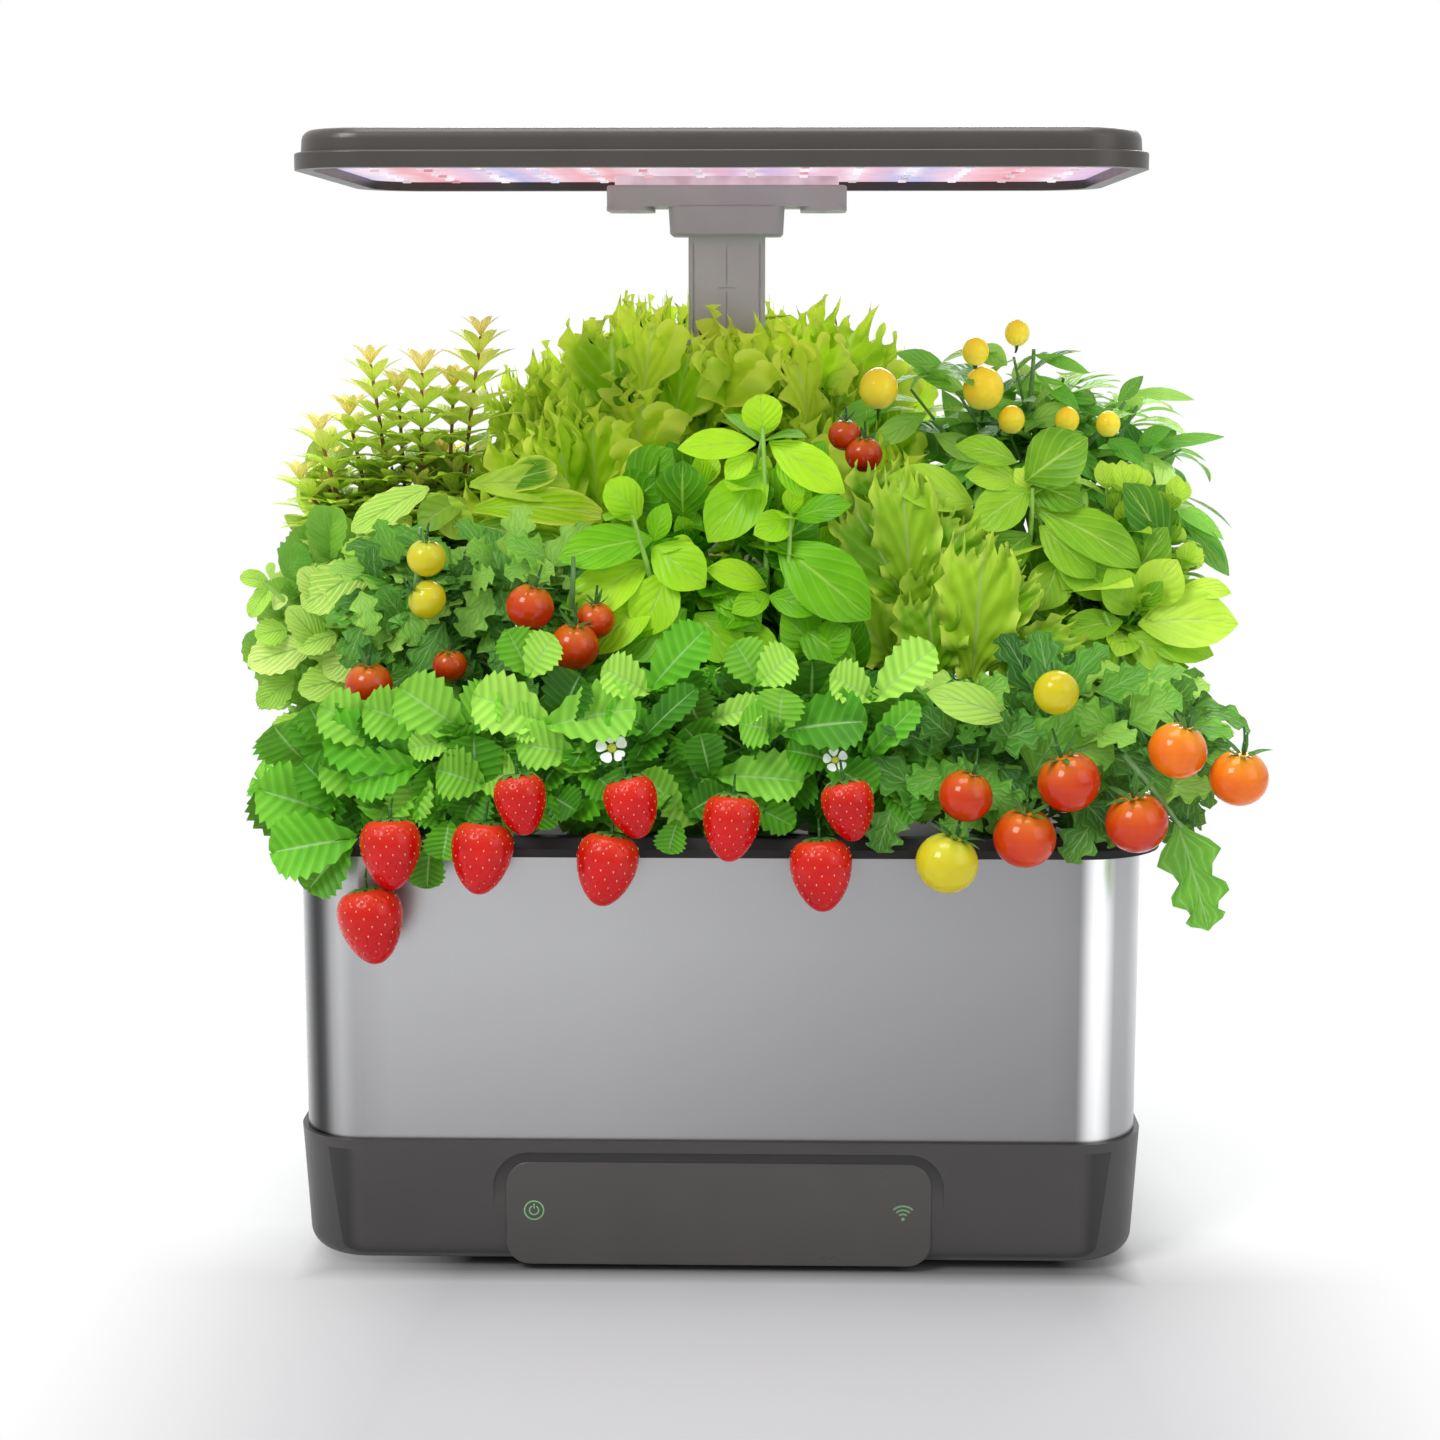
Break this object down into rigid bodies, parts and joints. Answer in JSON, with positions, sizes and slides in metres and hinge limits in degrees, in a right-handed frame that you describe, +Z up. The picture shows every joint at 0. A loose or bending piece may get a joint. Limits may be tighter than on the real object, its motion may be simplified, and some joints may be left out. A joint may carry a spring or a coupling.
{
  "type": "countertop hydroponic garden",
  "caption": "Free-standing indoor hydroponic planter: steel-sleeved water tank on a dark base, planted grow deck and a flat grow lamp on a telescopic mast.",
  "frame": {"origin": "on the surface it stands on, under the middle of the body", "axes": "+Z up, front (touch panel) towards -Y, +X to the right seen from the front"},
  "size_m": [0.481, 0.3085, 0.516],
  "materials": {
    "base_plastic": "satin dark grey moulded plastic",
    "panel_plastic": "smooth dark panel",
    "icon_light": "lit green light guide",
    "rubber": "matte black",
    "steel": "vertical fine brush",
    "screw_steel": "plain",
    "tank_plastic": "moulded black",
    "board": "circuit board",
    "inlet_plastic": "black",
    "pump_plastic": "black",
    "shaft_ceramic": "polished pin",
    "hose": "soft clear hose",
    "deck_plastic": "satin dark grey",
    "basket_plastic": "white",
    "sponge": "open growing foam",
    "float_plastic": "foamed float",
    "mast_plastic": "satin mid grey",
    "glide": "low-friction tape",
    "hood_plastic": "satin dark grey",
    "led_board": "white coated board",
    "led_white": "lit",
    "led_red": "lit",
    "led_blue": "lit",
    "strawberry": "glossy fruit skin",
    "tomato_red": "glossy fruit skin",
    "tomato_orange": "glossy fruit skin",
    "tomato_yellow": "glossy fruit skin",
    "pepper_orange": "glossy fruit skin",
    "leaf_mid": "fresh leaves",
    "leaf_pale": "pale frilled leaves",
    "leaf_dark": "dark leaves",
    "leaf_olive": "olive leaves on red stems"
  },
  "bodies": {
    "base": {"base_shell": "base_plastic", "base_plate": "base_plastic", "rubber_feet": "rubber", "base_screws": "screw_steel", "control_panel": "panel_plastic", "power_icon": "icon_light", "wireless_icon": "icon_light", "touch_board": "board", "lamp_driver_board": "board", "power_inlet": "inlet_plastic", "steel_sleeve": "steel", "water_tank": "tank_plastic", "pump_housing": "pump_plastic", "pump_cover": "pump_plastic", "pump_shaft": "shaft_ceramic", "pump_suction_feet": "rubber", "pump_outlet_hose": "hose"},
    "pump_rotor": {"pump_impeller": "pump_plastic"},
    "deck": {"grow_deck": "deck_plastic", "pod_baskets": "basket_plastic", "grow_sponges": "sponge", "fill_lid_pin": "screw_steel", "level_sensor_stem": "basket_plastic", "mast_sheath": "mast_plastic", "mast_screws": "screw_steel", "strawberries": "strawberry", "red_tomatoes": "tomato_red", "orange_tomatoes": "tomato_orange", "yellow_tomatoes": "tomato_yellow", "small_peppers": "pepper_orange", "red_stem_herb": "leaf_olive", "curly_lettuce": "leaf_pale", "leaf_lettuce": "leaf_pale", "pepper_plant": "leaf_dark", "mint": "leaf_mid", "basil": "leaf_mid", "ruffled_lettuce": "leaf_pale", "tall_basil": "leaf_mid", "strawberry_plant_left": "leaf_mid", "tomato_plant_left": "leaf_dark", "strawberry_plant_right": "leaf_mid", "tomato_plant_right": "leaf_dark"},
    "lid": {"fill_lid": "deck_plastic"},
    "float": {"level_float": "float_plastic"},
    "lamp": {"lamp_mast": "mast_plastic", "mast_glides": "glide", "lamp_collar": "mast_plastic", "lamp_bracket": "mast_plastic", "hood_frame": "hood_plastic", "hood_screws": "screw_steel", "led_board": "led_board", "white_leds": "led_white", "red_leds": "led_red", "blue_leds": "led_blue", "hood_cover": "hood_plastic"}
  },
  "joints": [
    {"name": "lamp_height", "type": "slide", "parent": "deck", "child": "lamp", "axis": [0, 0, 1], "range_m": [-0.04, 0.06]},
    {"name": "deck_lift", "type": "slide", "parent": "base", "child": "deck", "axis": [0, 0, 1], "range_m": [0, 0.15]},
    {"name": "fill_lid_hinge", "type": "hinge", "parent": "deck", "child": "lid", "pos_m": [0, 0.041, 0.2024], "axis": [-1, 0, 0], "range_deg": [0, 95]},
    {"name": "float_travel", "type": "slide", "parent": "deck", "child": "float", "axis": [0, 0, 1], "range_m": [0, 0.053]},
    {"name": "impeller_spin", "type": "hinge", "parent": "base", "child": "pump_rotor", "pos_m": [0.09, 0.0375, 0.078], "axis": [1, 0, 0], "continuous": true}
  ]
}
